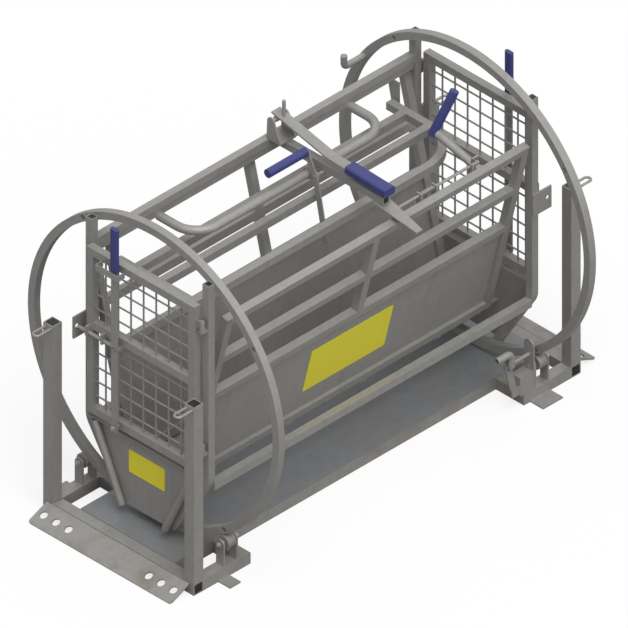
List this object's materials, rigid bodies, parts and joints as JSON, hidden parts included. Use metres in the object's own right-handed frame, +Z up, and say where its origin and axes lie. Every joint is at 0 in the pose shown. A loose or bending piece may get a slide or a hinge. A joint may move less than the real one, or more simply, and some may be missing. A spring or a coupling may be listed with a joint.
{
  "type": "sheep turning crate",
  "caption": "Welded tube crate for holding and turning a sheep over, with a cage between two hoops that rolls in a low base, mesh end gates and a drop-down side.",
  "frame": {"origin": "on the ground at the centre of the four base posts", "axes": "+X along the crate to the end with the lock, -Y to the side that drops open, +Z up"},
  "size_m": [1.722, 1.014, 1.063],
  "materials": {
    "galvanised_steel": "matte",
    "blue_grip": "satin",
    "yellow_plate": "satin"
  },
  "bodies": {
    "base": {"base_frame": "galvanised_steel", "base_floor": "galvanised_steel", "near_ramp": "galvanised_steel", "far_ramp": "galvanised_steel", "lock_box": "galvanised_steel", "near_right_post": "galvanised_steel", "near_left_post": "galvanised_steel", "far_right_post": "galvanised_steel", "far_left_post": "galvanised_steel", "near_right_cheeks": "galvanised_steel", "near_left_cheeks": "galvanised_steel", "far_right_cheeks": "galvanised_steel", "far_left_cheeks": "galvanised_steel"},
    "cage": {"near_hoop": "galvanised_steel", "far_hoop": "galvanised_steel", "near_right_corner_post": "galvanised_steel", "near_left_corner_post": "galvanised_steel", "far_right_corner_post": "galvanised_steel", "far_left_corner_post": "galvanised_steel", "near_panel": "galvanised_steel", "far_panel": "galvanised_steel", "near_guard_tubes": "galvanised_steel", "far_guard_tubes": "galvanised_steel", "stringers": "galvanised_steel", "left_side": "galvanised_steel", "left_top_rails": "galvanised_steel", "hangers": "galvanised_steel", "trough_floor": "galvanised_steel", "cross_beam": "galvanised_steel", "bail": "galvanised_steel", "arm_bracket": "galvanised_steel", "ratchet_bracket": "galvanised_steel", "end_name_plate": "yellow_plate"},
    "near_right_roller": {"near_right_roller": "galvanised_steel"},
    "near_left_roller": {"near_left_roller": "galvanised_steel"},
    "far_right_roller": {"far_right_roller": "galvanised_steel"},
    "far_left_roller": {"far_left_roller": "galvanised_steel"},
    "near_gate": {"near_gate": "galvanised_steel"},
    "near_lever": {"near_gate_lever": "galvanised_steel", "near_lever_grip": "blue_grip"},
    "near_bolt": {"near_bolt": "galvanised_steel"},
    "far_gate": {"far_gate": "galvanised_steel"},
    "far_lever": {"far_gate_lever": "galvanised_steel", "far_lever_grip": "blue_grip"},
    "far_bolt": {"far_bolt": "galvanised_steel"},
    "side_gate": {"side_gate": "galvanised_steel", "side_name_plate": "yellow_plate"},
    "release_lever": {"release_lever": "galvanised_steel", "release_grip": "blue_grip"},
    "latch_plunger": {"latch_plunger": "galvanised_steel"},
    "hold_down": {"hold_down_frame": "galvanised_steel"},
    "lift_arm": {"lift_arm": "galvanised_steel", "lift_arm_grip": "blue_grip"},
    "ratchet_lever": {"ratchet_lever": "galvanised_steel", "ratchet_grip": "blue_grip"},
    "lock_lever": {"lock_lever": "galvanised_steel"},
    "lock_plunger": {"lock_plunger": "galvanised_steel"}
  },
  "joints": [
    {"name": "cage_turn", "type": "hinge", "parent": "base", "child": "cage", "pos_m": [0, 0, 0.556], "axis": [1, 0, 0], "range_deg": [0, 180]},
    {"name": "near_right_roller_spin", "type": "hinge", "parent": "base", "child": "near_right_roller", "pos_m": [-0.6285, -0.2855, 0.10971], "axis": [1, 0, 0], "continuous": true},
    {"name": "near_left_roller_spin", "type": "hinge", "parent": "base", "child": "near_left_roller", "pos_m": [-0.6285, 0.2855, 0.10971], "axis": [1, 0, 0], "continuous": true},
    {"name": "far_right_roller_spin", "type": "hinge", "parent": "base", "child": "far_right_roller", "pos_m": [0.6285, -0.2855, 0.10971], "axis": [1, 0, 0], "continuous": true},
    {"name": "far_left_roller_spin", "type": "hinge", "parent": "base", "child": "far_left_roller", "pos_m": [0.6285, 0.2855, 0.10971], "axis": [1, 0, 0], "continuous": true},
    {"name": "near_gate_swing", "type": "hinge", "parent": "cage", "child": "near_gate", "pos_m": [-0.68, -0.2375, 0.6325], "axis": [0, 0, -1], "range_deg": [-90, 0]},
    {"name": "near_lever_swing", "type": "hinge", "parent": "near_gate", "child": "near_lever", "pos_m": [-0.709, 0.088, 0.3575], "axis": [-1, 0, 0], "range_deg": [0, 4.5]},
    {"name": "near_bolt_slide", "type": "slide", "parent": "near_gate", "child": "near_bolt", "axis": [0, 1, 0], "range_m": [0, 0.0216]},
    {"name": "far_gate_swing", "type": "hinge", "parent": "cage", "child": "far_gate", "pos_m": [0.68, 0.2375, 0.6325], "axis": [0, 0, -1], "range_deg": [-90, 0]},
    {"name": "far_lever_swing", "type": "hinge", "parent": "far_gate", "child": "far_lever", "pos_m": [0.709, -0.088, 0.3575], "axis": [1, 0, 0], "range_deg": [0, 4.5]},
    {"name": "far_bolt_slide", "type": "slide", "parent": "far_gate", "child": "far_bolt", "axis": [0, -1, 0], "range_m": [0, 0.0216]},
    {"name": "side_gate_swing", "type": "hinge", "parent": "cage", "child": "side_gate", "pos_m": [0, -0.099, 0.216], "axis": [-1, 0, 0], "range_deg": [-30, 0]},
    {"name": "release_turn", "type": "hinge", "parent": "side_gate", "child": "release_lever", "pos_m": [0.435, -0.14557, 0.87629], "axis": [0, -0.9711, -0.2389], "range_deg": [0, 32]},
    {"name": "latch_slide", "type": "slide", "parent": "side_gate", "child": "latch_plunger", "axis": [-1, 0, 0], "range_m": [0, 0.0105]},
    {"name": "hold_down_swing", "type": "hinge", "parent": "cage", "child": "hold_down", "pos_m": [0, 0.218, 0.8], "axis": [1, 0, 0], "range_deg": [0, 20]},
    {"name": "lift_arm_swing", "type": "hinge", "parent": "cage", "child": "lift_arm", "pos_m": [0.085, 0.215, 0.985], "axis": [1, 0, 0], "range_deg": [-60, 0]},
    {"name": "ratchet_swing", "type": "hinge", "parent": "cage", "child": "ratchet_lever", "pos_m": [0.0525, 0.04, 0.88], "axis": [1, 0, 0], "range_deg": [-8, 0]},
    {"name": "lock_lever_swing", "type": "hinge", "parent": "base", "child": "lock_lever", "pos_m": [0.52, -0.295, 0.06], "axis": [0, 1, 0], "range_deg": [0, 10]},
    {"name": "lock_slide", "type": "slide", "parent": "base", "child": "lock_plunger", "axis": [1, 0, 0], "range_m": [0, 0.0165]}
  ],
  "couplings": [
    {"joint": "near_bolt_slide", "follows": "near_lever_swing", "m_per_rad": 0.27},
    {"joint": "far_bolt_slide", "follows": "far_lever_swing", "m_per_rad": 0.27},
    {"joint": "latch_slide", "follows": "release_turn", "m_per_rad": 0.018},
    {"joint": "lock_slide", "follows": "lock_lever_swing", "m_per_rad": 0.092}
  ]
}
